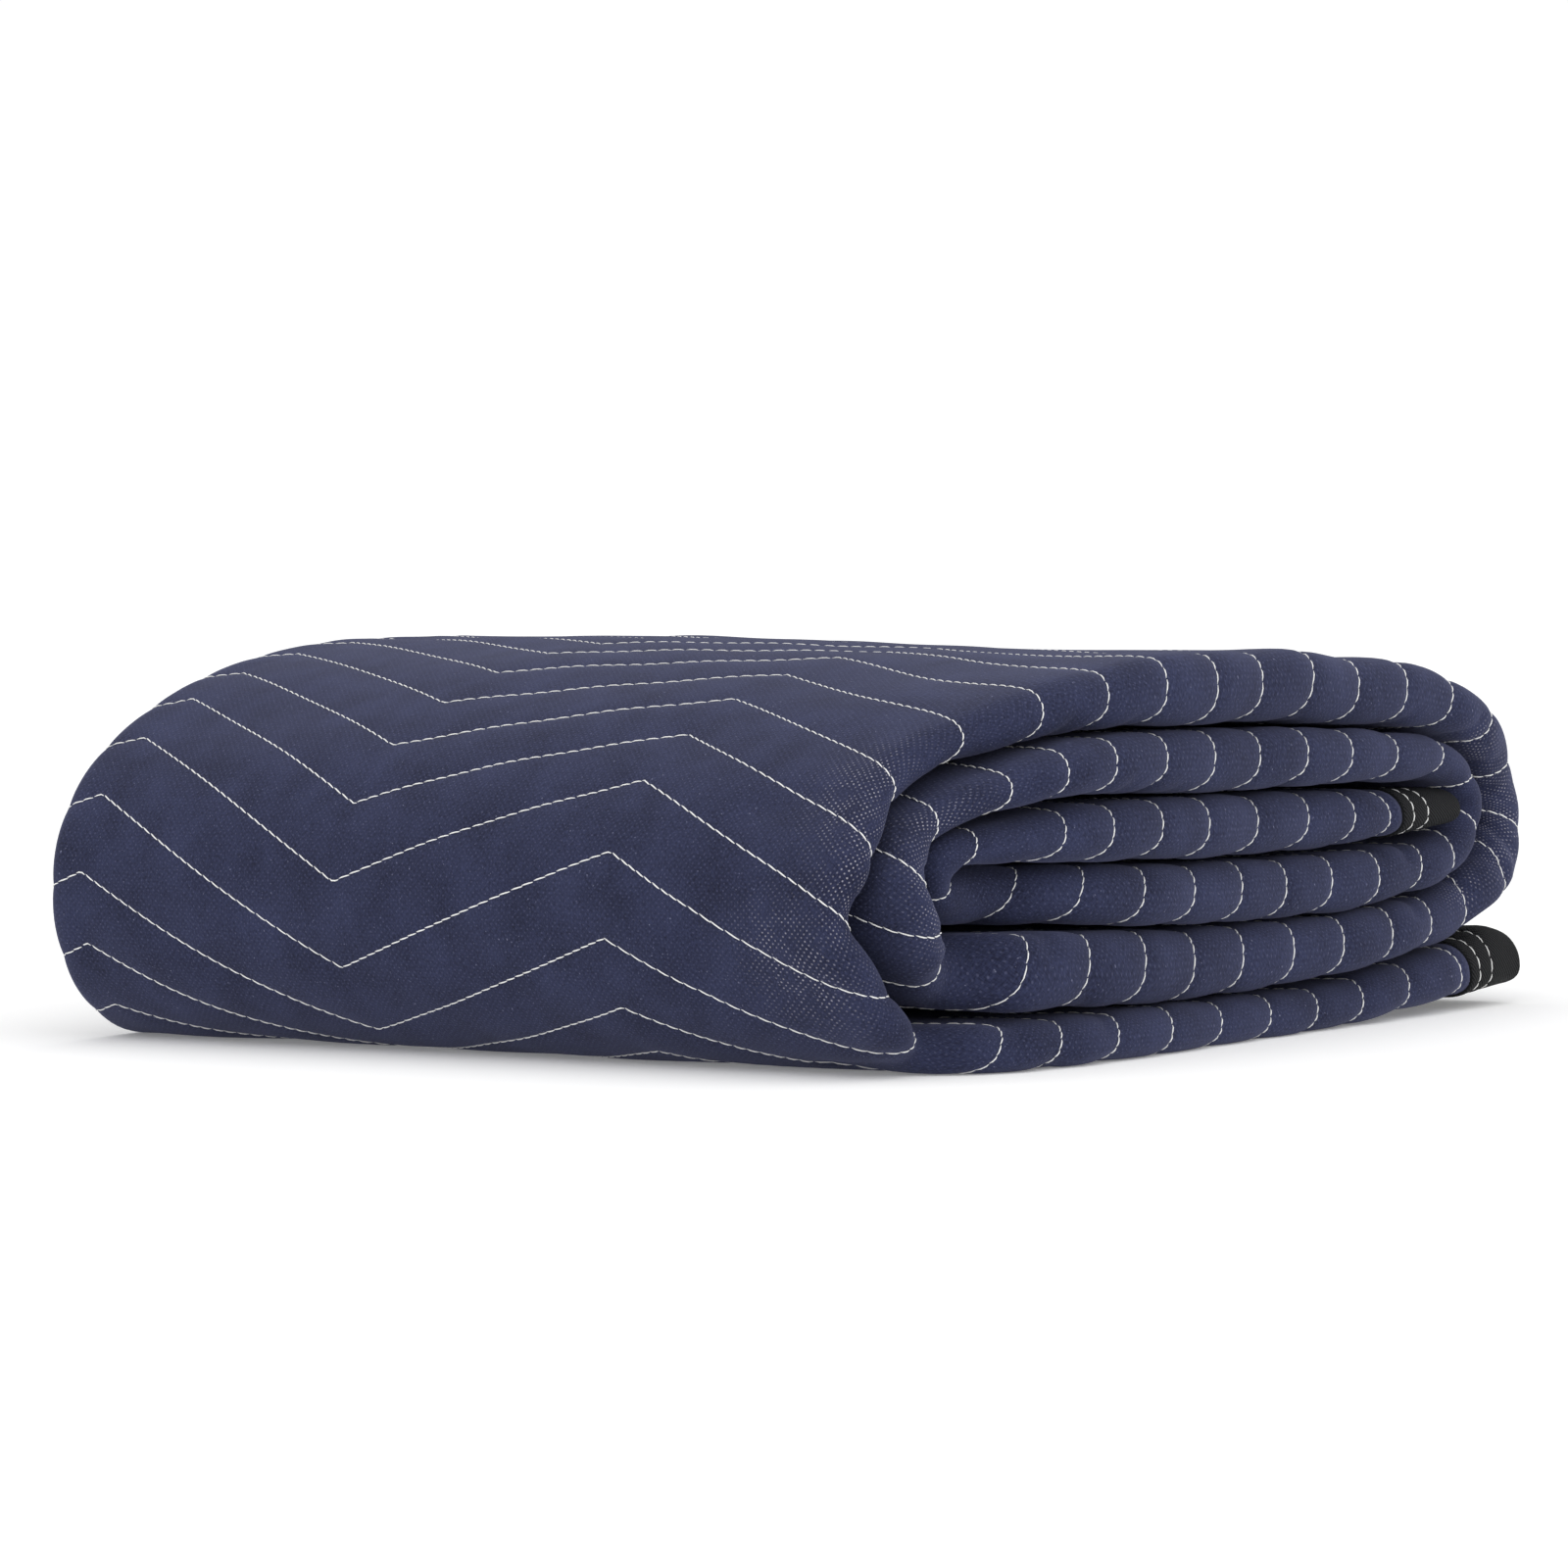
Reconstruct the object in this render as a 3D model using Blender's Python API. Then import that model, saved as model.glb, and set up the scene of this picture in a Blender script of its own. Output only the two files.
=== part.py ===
# Moving blanket: folded in thirds and in half into a strip of six plies, then wound flat.
# Frame in metres: X along the bands, -Y the closed folds, +Z up, origin mid base.
import bmesh
import bpy
import numpy as np

for old in list(bpy.data.objects):
    bpy.data.objects.remove(old, do_unlink=True)

# Driving sizes in millimetres
stripWidth = 330.0
plyCount = 6
plyGap = 0.32
pieceGap = 0.35
foldRadius = 10.5
lipTwo = 5.0
lipThree = 7.5
bindingReach = 34.0
stitchSpacing = 24.6
firstStitch = 13.0
zigzagHalf = 101.0
zigzagSwing = 44.0
zigzagSkew = 0.063
valleyAt = -5.0
reliefDepth = 2.0
contactSink = 0.7
# The back of the winding stands higher: the rise, where it starts and how far it takes
domeRise = 0.042
domeFrom = 50.0
domeSpan = 190.0
# Quilting fades out on the ground and deep in the winding, where nothing shows
pressedBelow = 1.5
pressedSpan = 4.0
hiddenAfter = 230.0
fadeSpan = 150.0
foldSwing = 0.35
# Closed edge: how far each shape draws it in, and over which length
leftDraw, leftReach = 17.0, 52.0
rightDraw, rightReach = 3.0, 30.0
nipDepth, nipHeight, nipReach = 5.0, 45.0, 9.0
tuckDepth, tuckReach, tuckBack = 8.0, 45.0, 65.0
# Closed edge at the turns, as rows of length along the strip and how far it draws in
# there: round the outer left turn, the outer right turn and the inner left turn
turnDraw = (
    (272, 0), (300, 9), (330, 10), (365, 12.5), (390, 19), (415, 11), (450, 3), (480, 0),
    (660, 0), (700, 5), (730, 6), (755, 3), (780, 0),
    (1024, 0), (1042, 8), (1064, 4), (1080, 0),
)
turnSoften = 25
# Binding: fullness against the blanket's section, and how far and fast its end thins
bindingFull = 1.05
bindingThin = 0.12
thinReach = 5.0

# Bands of the flat winding, one row each: stations of x, z and thickness, left to right
bands = {
    "six": (
        (42, 7.3, 14.0), (150, 6.8, 13.4), (215, 6.9, 13.2), (250, 9.6, 13.8), (290, 12.6, 15.6),
        (322, 13.0, 12.0)
    ),
    "one": ((135, 104.2, 20.4), (190, 103.7, 20.4), (246, 100.0, 19.8)),
    "five": ((52, 27.8, 21.6), (150, 24.7, 19.8), (225, 25.6, 17.0), (260, 28.6, 15.2)),
    "four": ((50, 49.2, 16.2), (150, 44.7, 17.4), (225, 43.9, 17.0), (266, 46.2, 14.8)),
    "three": ((52, 64.0, 10.6), (85, 65.4, 16.2), (150, 64.0, 17.6), (230, 63.2, 16.2), (282, 63.8, 9.8)),
    "two": ((96, 84.2, 16.2), (160, 83.0, 18.4), (230, 81.4, 15.8), (268, 79.8, 13.6)),
}
# Turns that join the bands, one row each: x and z of the reach, thickness there and
# at the upper shoulder, and how full the upper and lower quarters are
turns = {
    "six one": (6.4, 44.5, 12.4, 10.6, 0.61, 0.56),
    "one five": (322.0, 62.0, 21.0, 16.0, 0.55, 0.56),
    "five two": (21.0, 51.8, 11.2, 9.2, 0.51, 0.56),
    "two four": (295.5, 64.4, 13.4, 12.6, 0.56, 0.56),
    "four three": (38.4, 55.8, 11.2, 9.6, 0.56, 0.56),
}
winding = ("six", "one", "five", "two", "four", "three")
# Colours as linear red, green and blue
colours = {"quilted cotton navy": (0.045, 0.047, 0.095), "binding twill black": (0.012, 0.012, 0.013)}


def quarter(start, end, level_first, k, steps=60):
    # Quarter turn from a level run to an upright one, or the other way; k is its fullness
    p0 = np.array(start, float)
    p3 = np.array(end, float)
    d = p3 - p0
    if level_first:
        p1, p2 = p0 + (k * d[0], 0), p3 - (0, k * d[1])
    else:
        p1, p2 = p0 + (0, k * d[1]), p3 - (k * d[0], 0)
    t = np.linspace(0, 1, steps, endpoint=False)[:, None]
    return (1 - t) ** 3 * p0 + 3 * t * (1 - t) ** 2 * p1 + 3 * t**2 * (1 - t) * p2 + t**3 * p3


def band_run(rows, leftward, steps=160):
    # Heights pass smoothly through the stations and leave both ends level
    xs, zs = np.array([row[:2] for row in rows], float).T
    slopes = np.zeros(len(xs))
    slopes[1:-1] = (zs[2:] - zs[:-2]) / (xs[2:] - xs[:-2])
    x = np.linspace(xs[0], xs[-1], steps)
    k = np.clip(np.searchsorted(xs, x, "right") - 1, 0, len(xs) - 2)
    h = xs[k + 1] - xs[k]
    t = (x - xs[k]) / h
    z = (
        zs[k] * (2 * t**3 - 3 * t**2 + 1)
        + slopes[k] * h * (t**3 - 2 * t**2 + t)
        + zs[k + 1] * (3 * t**2 - 2 * t**3)
        + slopes[k + 1] * h * (t**3 - t**2)
    )
    run = np.stack([x, z], 1)
    return run[::-1] if leftward else run


def wind_path():
    # Middle line of the strip from its outer end inwards, with thickness by length
    line, marks = [], []
    for i, name in enumerate(winding):
        leftward = name in ("six", "five", "four")
        rows = bands[name]
        run = band_run(rows, leftward)
        marks += rows[::-1] if leftward else rows
        line.append(run)
        if i == len(winding) - 1:
            break
        following = winding[i + 1]
        reach_x, reach_z, thick, shoulder, upper, lower = turns[name + " " + following]
        reach = (reach_x, reach_z)
        start = bands[following][0 if leftward else -1][:2]
        first = quarter(run[-1], reach, True, lower if leftward else upper)
        second = quarter(reach, start, False, upper if leftward else lower)
        line += [first[1:], second]
        high = second[30] if leftward else first[30]
        turn_marks = [(*reach, thick), (*high, shoulder)]
        marks += turn_marks if leftward else turn_marks[::-1]
    line = np.concatenate(line)
    step = np.hypot(*np.diff(line, axis=0).T)
    keep = np.concatenate([[True], step > 1e-6])
    line = line[keep]
    s = np.concatenate([[0], np.cumsum(np.hypot(*np.diff(line, axis=0).T))])
    even = np.arange(0, s[-1], 0.5)
    line = np.stack([np.interp(even, s, line[:, 0]), np.interp(even, s, line[:, 1])], 1)
    soft = np.hanning(15)
    soft /= soft.sum()
    padded = np.pad(line, ((7, 7), (0, 0)), mode="reflect", reflect_type="odd")
    line = np.stack([np.convolve(padded[:, k], soft, "valid") for k in (0, 1)], 1)
    s = np.concatenate([[0], np.cumsum(np.hypot(*np.diff(line, axis=0).T))])
    found, last = [], 0
    for x, z, _ in marks:
        near = np.hypot(line[last:, 0] - x, line[last:, 1] - z)[:700]
        last += int(np.argmin(near))
        found.append(s[last])
    thick = np.interp(s, found, [mark[2] for mark in marks])
    blur = np.hanning(61)
    blur /= blur.sum()
    thick = np.convolve(np.pad(thick, 30, mode="edge"), blur, "valid")
    return line, s, thick


middle, length, thickness = wind_path()
tangent = np.gradient(middle, axis=0)
tangent /= np.hypot(*tangent.T)[:, None]
outward = np.stack([-tangent[:, 1], tangent[:, 0]], 1)
heading = np.unwrap(np.arctan2(tangent[:, 1], tangent[:, 0]))
outerFace = middle + outward * thickness[:, None] / 2
faceLength = np.concatenate([[0], np.cumsum(np.hypot(*np.diff(outerFace, axis=0).T))])
total = length[-1]
innerTurn = length[middle[:, 0] < 80][-1] - tuckBack
soften = np.hanning(turnSoften)
soften /= soften.sum()
drawn = np.interp(length, *np.array(turnDraw, float).T)
drawn = np.convolve(np.pad(drawn, turnSoften // 2, mode="edge"), soften, "valid")


def at(s, values):
    return np.interp(s, length, values)


def closed_edge(s):
    # The closed side draws in round the left turns, and a little at the right
    x = at(s, middle[:, 0])
    z = at(s, middle[:, 1])
    draw = leftDraw * np.exp(-((x / leftReach) ** 2))
    draw += rightDraw * np.exp(-(((x - stripWidth) / rightReach) ** 2))
    nip = nipDepth * np.exp(-(((z - nipHeight) / nipReach) ** 2)) * np.clip((16.0 - x) / 8.0, 0, 1)
    tuck = tuckDepth * np.exp(-(((s - innerTurn) / tuckReach) ** 2))
    sway = 1.1 * np.sin(s / 67.0) + 0.7 * np.sin(s / 23.0 + 1.3)
    return draw + nip + tuck + at(s, drawn) + sway


def open_edge(s):
    return stripWidth - 1.5 + 1.3 * np.sin(s / 83.0 + 0.6) + 0.8 * np.sin(s / 31.0)


def place(s, y, offset):
    # Strip coordinates to space: length s, place y across, offset from the middle line
    x = at(s, middle[:, 0]) + at(s, outward[:, 0]) * offset
    z = at(s, middle[:, 1]) + at(s, outward[:, 1]) * offset
    lift = np.clip((y - domeFrom) / domeSpan, 0, 1)
    z = z * (1 + domeRise * lift * lift * (3 - 2 * lift))
    z = np.maximum(z - contactSink, 0)
    return np.stack([x, y, z], -1)


# Section of the strip, as (y from, y distance, e): e is 1 at the outer face, -1 at the inner
halfBand = 9.0
thin = (2 - (plyCount - 1) * plyGap / halfBand) / plyCount
tops = [1 - k * (thin + plyGap / halfBand) for k in range(plyCount)]
lows = [top - thin for top in tops]
plyThick = thin * halfBand


def bend(edge, centre, reach, e_from, e_to, steps):
    # Half ellipse of a fold between two heights in the section
    mid, half = (e_from + e_to) / 2, (e_from - e_to) / 2
    turn = np.linspace(0, np.pi, steps)
    return [(edge, centre - reach * np.sin(a), mid + half * np.cos(a)) for a in turn]


def nested(fold):
    return foldRadius - fold * (plyThick + 0.7)


inside = (
    [("open", lipThree + 1.2, lows[4])]
    + bend("closed", foldRadius, nested(1), lows[4], tops[1], 5)
    + [("open", lipTwo, tops[1]), ("open", lipTwo - 0.8, (tops[1] + lows[0]) / 2)]
    + [("open", lipTwo, lows[0])]
    + bend("closed", foldRadius, foldRadius - plyThick, lows[0], tops[5], 5)
    + bend("open", lipThree, lipThree - plyThick, tops[5], lows[3], 3)
    + bend("closed", foldRadius, nested(2), lows[3], tops[2], 4)
    + [("open", lipThree + 4.0, tops[2])]
)
outsideOpen = (
    [("open", lipThree + 4.0, lows[2])]
    + bend("closed", foldRadius, 1.4, lows[2], tops[3], 3)
    + bend("open", lipThree, lipThree, tops[3], lows[5], 5)
)
bulge = bend("closed", foldRadius, foldRadius, -1, 1, 7)
outsideLip = bend("open", lipTwo, lipTwo, 1, lows[1], 5)[1:] + (
    bend("closed", foldRadius, nested(1) - plyThick, lows[1], tops[4], 4)
    + [("open", lipThree + 1.2, tops[4])]
)
faceColumns = (35, 55, 75, 96, 121, 146, 171, 197, 222, 247, 272, 298)
quarterArc = 15.0
rowRoom = 3.0


def swing(v):
    # How far a stitch line runs along the strip at distance v from the closed edge
    f = np.mod((v - valleyAt) / zigzagHalf, 2)
    return zigzagSwing * (1 - np.abs(1 - f)) + zigzagSkew * v


def column_y(point, s):
    kind, distance = point[0], point[1]
    if kind == "closed":
        return closed_edge(s) + distance
    if kind == "open":
        return open_edge(s) - distance
    return closed_edge(s) + foldRadius + distance - quarterArc


def plain_rows(start, end, angle=np.radians(15), span=95.0):
    # Rows where the strip has turned by the angle or run the span since the last
    picked = [start]
    inner = (length > start) & (length < end)
    last_heading = at(start, heading)
    for s, h in zip(length[inner], heading[inner]):
        if abs(h - last_heading) >= angle or s - picked[-1] >= span:
            picked.append(s)
            last_heading = h
    if end - picked[-1] < 4:
        picked.pop()
    return np.array(picked + [end])


def zip_columns(left, right, left_keys, right_keys, spots):
    # Triangles between two columns of vertices, stepping along the lower key and,
    # where two rows match, across the shorter diagonal
    i = j = 0
    faces = []
    while i < len(left) - 1 or j < len(right) - 1:
        if i == len(left) - 1 or j == len(right) - 1:
            go_left = j == len(right) - 1
        else:
            ahead = left_keys[i + 1] - right_keys[j + 1]
            go_left = ahead < 0
            if abs(ahead) < 1e-6:
                via_left = np.linalg.norm(spots[left[i + 1]] - spots[right[j]])
                via_right = np.linalg.norm(spots[left[i]] - spots[right[j + 1]])
                go_left = via_left < via_right
        if go_left:
            faces.append((left[i], left[i + 1], right[j]))
            i += 1
        else:
            faces.append((left[i], right[j + 1], right[j]))
            j += 1
    return faces


def build_solid(name, columns, material):
    # Columns hold (points, keys, s values); neighbours are zipped and both ends capped
    verts, index = [], []
    for column in columns:
        index.append(list(range(len(verts), len(verts) + len(column["points"]))))
        verts += [tuple(p) for p in column["points"]]
    spots = np.array(verts)
    faces = []
    for a in range(len(columns)):
        b = (a + 1) % len(columns)
        one, two = columns[a], columns[b]
        key = "row" if one["swings"] and two["swings"] else "s"
        faces += zip_columns(index[a], index[b], one[key], two[key], spots)
    faces.append([column[0] for column in index])
    faces.append([column[-1] for column in index][::-1])
    mesh = bpy.data.meshes.new(name)
    mesh.from_pydata(verts, [], faces)
    bm = bmesh.new()
    bm.from_mesh(mesh)
    bmesh.ops.triangulate(bm, faces=[f for f in bm.faces if len(f.verts) > 4])
    bmesh.ops.recalc_face_normals(bm, faces=bm.faces[:])
    for vert in bm.verts:
        vert.co *= 0.001
    bm.to_mesh(mesh)
    bm.free()
    thing = bpy.data.objects.new(name, mesh)
    collection.objects.link(thing)
    mesh.materials.append(material)
    return thing


def shift_home(things):
    # Move the whole so the origin is the middle of the base
    spots = np.array([v.co for thing in things for v in thing.data.vertices])
    low, high = spots.min(0), spots.max(0)
    home = np.array([(low[0] + high[0]) / 2, (low[1] + high[1]) / 2, low[2]])
    for thing in things:
        for vert in thing.data.vertices:
            vert.co = np.array(vert.co) - home


def plain_column(point, rows, grow=1.0):
    y = column_y(point, rows)
    offset = point[2] * at(rows, thickness) / 2 * grow
    return {"points": place(rows, y, offset), "row": rows, "s": rows, "swings": False}


def make_material(name, colour, roughness):
    material = bpy.data.materials.new(name)
    material.use_nodes = True
    shader = material.node_tree.nodes["Principled BSDF"]
    shader.inputs["Base Color"].default_value = (*colour, 1)
    shader.inputs["Roughness"].default_value = roughness
    material.diffuse_color = (*colour, 1)
    return material


def blanket_columns():
    start, end = bindingReach + pieceGap, total - bindingReach - pieceGap
    rows = plain_rows(start, end)
    half = stitchSpacing / 2
    first, last = np.interp([start, end], length, faceLength)
    counts = np.arange(-int((zigzagSwing + zigzagSkew * stripWidth) / half) - 2, int(last / half) + 1)
    lines = counts * half + first + firstStitch
    relief = np.where(counts % 2 == 0, -0.5, 0.5) * reliefDepth
    # The face is hidden once the outer wrap has come back under itself
    right = int(np.argmax((middle[:, 0] > 300) & (length > 700)))
    hidden = faceLength[right] + hiddenAfter
    fade = np.clip((hidden - lines) / fadeSpan, 0, 1)
    columns = []
    for point in inside:
        columns.append(plain_column(point, rows))
    for point in outsideOpen:
        columns.append(plain_column(point, rows))

    def swung(point, v, dense_end, weight):
        face = lines + swing(v) * weight
        keep = (face > first + rowRoom) & (face < last - rowRoom) & (face < dense_end)
        s = np.interp(face[keep], faceLength, length)
        # Quilting that lies on the ground is pressed flat
        raised = np.clip((at(s, outerFace[:, 1]) - pressedBelow) / pressedSpan, 0, 1)
        row_keys, bumps = lines[keep], relief[keep] * raised
        far = rows[rows > s[-1] + 2 * rowRoom]
        s_all = np.concatenate([[start], s, far])
        keys = np.concatenate([[first - swing(v)], row_keys, np.interp(far, length, faceLength)])
        bumps = np.concatenate([[0], bumps, 0 * far])
        offset = point[2] * at(s_all, thickness) / 2
        y = column_y(point, s_all)
        if point[0] == "closed":
            turn = np.arcsin(np.clip(point[2], -1, 1))
            offset = offset + bumps * np.sin(turn)
            y = y - bumps * np.cos(turn)
        else:
            offset = offset + bumps
        return {"points": place(s_all, y, offset), "row": keys, "s": s_all, "swings": True}

    for point in bulge:
        v = np.interp(point[2], [-1, 1], [-quarterArc, quarterArc])
        weight = foldSwing + (1 - foldSwing) * fade
        columns.append(swung(point, v, 1e9, weight))
    for v in faceColumns:
        columns.append(swung(("face", v, 1.0), v, hidden, fade))
    columns.append(plain_column(("open", lipTwo, 1.0), rows))
    for point in outsideLip:
        columns.append(plain_column(point, rows))
    return columns


def binding_columns(start, end, taper_end):
    rows = np.linspace(start, end, 5)
    near = np.abs(rows - taper_end)
    grow = bindingFull - bindingThin * np.exp(-near / thinReach)
    points = inside + outsideOpen + bulge + [("open", lipTwo, 1.0)] + outsideLip
    return [plain_column(point, rows, grow) for point in points]


collection = bpy.data.collections.new("moving_blanket")
bpy.context.scene.collection.children.link(collection)
navy = make_material("quilted cotton navy", colours["quilted cotton navy"], 0.9)
black = make_material("binding twill black", colours["binding twill black"], 0.85)
things = [
    build_solid("blanket", blanket_columns()[::-1], navy),
    build_solid("binding_outer", binding_columns(0, bindingReach, 0)[::-1], black),
    build_solid("binding_inner", binding_columns(total - bindingReach, total, total)[::-1], black),
]
shift_home(things)
for thing in things:
    print(thing.name, "triangles", sum(len(p.vertices) - 2 for p in thing.data.polygons))
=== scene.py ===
import bmesh
import bpy
import numpy as np
from mathutils import Matrix


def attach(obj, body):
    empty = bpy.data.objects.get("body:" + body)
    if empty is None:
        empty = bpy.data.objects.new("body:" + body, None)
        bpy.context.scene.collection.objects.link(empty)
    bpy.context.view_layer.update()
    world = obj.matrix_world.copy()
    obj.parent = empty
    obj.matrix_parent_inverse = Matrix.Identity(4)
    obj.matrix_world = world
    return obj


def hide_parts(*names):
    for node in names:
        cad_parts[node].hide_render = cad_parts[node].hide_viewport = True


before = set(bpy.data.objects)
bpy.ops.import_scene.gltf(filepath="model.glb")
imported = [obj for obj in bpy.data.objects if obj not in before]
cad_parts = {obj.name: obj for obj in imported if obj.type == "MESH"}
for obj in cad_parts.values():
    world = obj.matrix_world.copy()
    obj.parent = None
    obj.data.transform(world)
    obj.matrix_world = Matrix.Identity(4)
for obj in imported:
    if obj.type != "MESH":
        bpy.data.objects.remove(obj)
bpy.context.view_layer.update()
print("frame loaded")

# The folded strip and the way it is wound, in millimetres
strip = {
    "width": 330.0,
    "plies": 6,
    "plyGap": 0.32,
    "foldRadius": 10.5,
    "fullness": 0.86,
    "swell": 0.42,
    "swellReach": 13.0,
    "sag": 0.1,
    "lipTwo": 5.0,
    "lipThree": 7.5,
    "binding": 34.0,
    "pieceGap": 0.35,  # between the cloth and the tape
    "home": (166.227, 164.087),
    "contactSink": 0.7,
    "domeRise": 0.042,
    "domeFrom": 50.0,
    "domeSpan": 190.0,
    "floorSoft": 0.3,  # how softly the underside flattens on the floor
    "leftDraw": (17.0, 52.0),  # closed folds at the left turns: drawn in by, reach in x
    "rightDraw": (3.0, 330.0, 30.0),  # and at the right: by, where in x, reach
    "nip": (5.0, 45.0, 9.0),  # pinch of the left side: by, at what height, reach
    "nipFrom": 16.0,  # x where the pinch starts
    "nipFade": 8.0,
    "tucks": ((8.0, 45.0), (9.0, 24.0)),  # at the innermost turn: drawn in by, reach
    "edgeWaves": ((1.1, 67.0, 0.0), (0.7, 23.0, 1.3)),  # height, length over two pi, phase
    "openWaves": ((1.3, 83.0, 0.6), (0.8, 31.0, 0.0)),
    "openInset": 1.5,
    "fuller": (0.22, 375.0, 45.0),  # extra fullness: how much, at what length, reach
}
# Bands of the flat winding: stations of x, z and thickness, left to right
bands = {
    "six": (
        (42, 7.3, 14.0), (150, 6.8, 13.4), (215, 6.9, 13.2),
        (250, 9.6, 13.8), (290, 12.6, 15.6), (322, 13.0, 12.0),
    ),
    "one": ((135, 104.2, 20.4), (190, 103.7, 20.4), (246, 100.0, 19.8)),
    "five": ((52, 27.8, 21.6), (150, 24.7, 19.8), (225, 25.6, 17.0), (260, 28.6, 15.2)),
    "four": ((50, 49.2, 16.2), (150, 44.7, 17.4), (225, 43.9, 17.0), (266, 46.2, 14.8)),
    "three": ((52, 64.0, 10.6), (85, 65.4, 16.2), (150, 64.0, 17.6), (230, 63.2, 16.2), (282, 63.8, 9.8)),
    "two": ((96, 84.2, 16.2), (160, 83.0, 18.4), (230, 81.4, 15.8), (268, 79.8, 13.6)),
}
# Turns between them: x and z of the reach, thickness there and at the upper shoulder,
# fullness of the upper and lower quarters
turns = {
    "six one": (6.4, 44.5, 12.4, 10.6, 0.61, 0.56),
    "one five": (322.0, 62.0, 21.0, 16.0, 0.55, 0.56),
    "five two": (21.0, 51.8, 11.2, 9.2, 0.51, 0.56),
    "two four": (295.5, 64.4, 13.4, 12.6, 0.56, 0.56),
    "four three": (38.4, 55.8, 11.2, 9.6, 0.56, 0.56),
}
winding = ("six", "one", "five", "two", "four", "three")
turnSteps = 60
pathStep = 0.5
pathBlur, thicknessBlur = 15, 61  # steps that the line and its thickness are smoothed over
markSearch = 700  # steps ahead in which the next station is looked for


def quarterTurn(start, end, levelFirst, k):
    # cubic curve: level at one end and upright at the other, handles k of the way
    p0, p3 = np.array(start, float), np.array(end, float)
    d = p3 - p0
    level, upright = np.array([k * d[0], 0]), np.array([0, k * d[1]])
    p1 = p0 + (level if levelFirst else upright)
    p2 = p3 - (upright if levelFirst else level)
    t = np.linspace(0, 1, turnSteps, endpoint=False)[:, None]
    return (1 - t) ** 3 * p0 + 3 * t * (1 - t) ** 2 * p1 + 3 * t**2 * (1 - t) * p2 + t**3 * p3


def bandRun(rows, leftward, steps=160):
    # smooth height through the stations, level at both ends
    xs, zs = np.array([row[:2] for row in rows], float).T
    slopes = np.zeros(len(xs))
    slopes[1:-1] = (zs[2:] - zs[:-2]) / (xs[2:] - xs[:-2])
    x = np.linspace(xs[0], xs[-1], steps)
    k = np.clip(np.searchsorted(xs, x, "right") - 1, 0, len(xs) - 2)
    h = xs[k + 1] - xs[k]
    t = (x - xs[k]) / h
    z = zs[k] * (2 * t**3 - 3 * t**2 + 1) + slopes[k] * h * (t**3 - 2 * t**2 + t)
    z = z + zs[k + 1] * (3 * t**2 - 2 * t**3) + slopes[k + 1] * h * (t**3 - t**2)
    run = np.stack([x, z], 1)
    return run[::-1] if leftward else run


def windPath():
    # middle line of the strip from its outer end inwards, every half millimetre
    line, marks = [], []
    for i, name in enumerate(winding):
        leftward = name in ("six", "five", "four")
        rows = bands[name]
        run = bandRun(rows, leftward)
        marks += rows[::-1] if leftward else rows
        line.append(run)
        if i == len(winding) - 1:
            break
        nextBand = winding[i + 1]
        reachX, reachZ, thick, shoulder, upper, lower = turns[name + " " + nextBand]
        start = bands[nextBand][0 if leftward else -1][:2]
        first = quarterTurn(run[-1], (reachX, reachZ), True, lower if leftward else upper)
        second = quarterTurn((reachX, reachZ), start, False, upper if leftward else lower)
        line += [first[1:], second]
        high = (second if leftward else first)[turnSteps // 2]
        turnMarks = [(reachX, reachZ, thick), (*high, shoulder)]
        marks += turnMarks if leftward else turnMarks[::-1]
    line = np.concatenate(line)
    keep = np.concatenate([[True], np.hypot(*np.diff(line, axis=0).T) > 1e-6])
    line = line[keep]
    s = np.concatenate([[0], np.cumsum(np.hypot(*np.diff(line, axis=0).T))])
    even = np.arange(0, s[-1], pathStep)
    line = np.stack([np.interp(even, s, line[:, 0]), np.interp(even, s, line[:, 1])], 1)
    soft = np.hanning(pathBlur) / np.hanning(pathBlur).sum()
    half = pathBlur // 2
    wide = np.pad(line, ((half, half), (0, 0)), mode="reflect", reflect_type="odd")
    line = np.stack([np.convolve(wide[:, k], soft, "valid") for k in (0, 1)], 1)
    s = np.concatenate([[0], np.cumsum(np.hypot(*np.diff(line, axis=0).T))])
    found, last = [], 0
    for x, z, _ in marks:
        last += int(np.argmin(np.hypot(line[last:, 0] - x, line[last:, 1] - z)[:markSearch]))
        found.append(s[last])
    thick = np.interp(s, found, [mark[2] for mark in marks])
    blur = np.hanning(thicknessBlur) / np.hanning(thicknessBlur).sum()
    return line, s, np.convolve(np.pad(thick, thicknessBlur // 2, mode="edge"), blur, "valid")


middle, length, thickness = windPath()
tangent = np.gradient(middle, axis=0)
tangent /= np.hypot(*tangent.T)[:, None]
outward = np.stack([-tangent[:, 1], tangent[:, 0]], 1)
outerFace = middle + outward * thickness[:, None] / 2
faceLength = np.concatenate([[0], np.cumsum(np.hypot(*np.diff(outerFace, axis=0).T))])
total = length[-1]
innerTurn = length[middle[:, 0] < 80][-1] - 65.0  # length at the heart of the last left turn
print("winding", round(total), "mm long")


def at(s, values):
    # value at a length along the strip, straight between its half-millimetre steps
    return np.interp(s, length, values)


def smooth(t):
    # ease from 0 to 1: t squared times three less two t
    t = np.clip(t, 0, 1)
    return t * t * (3 - 2 * t)


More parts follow.
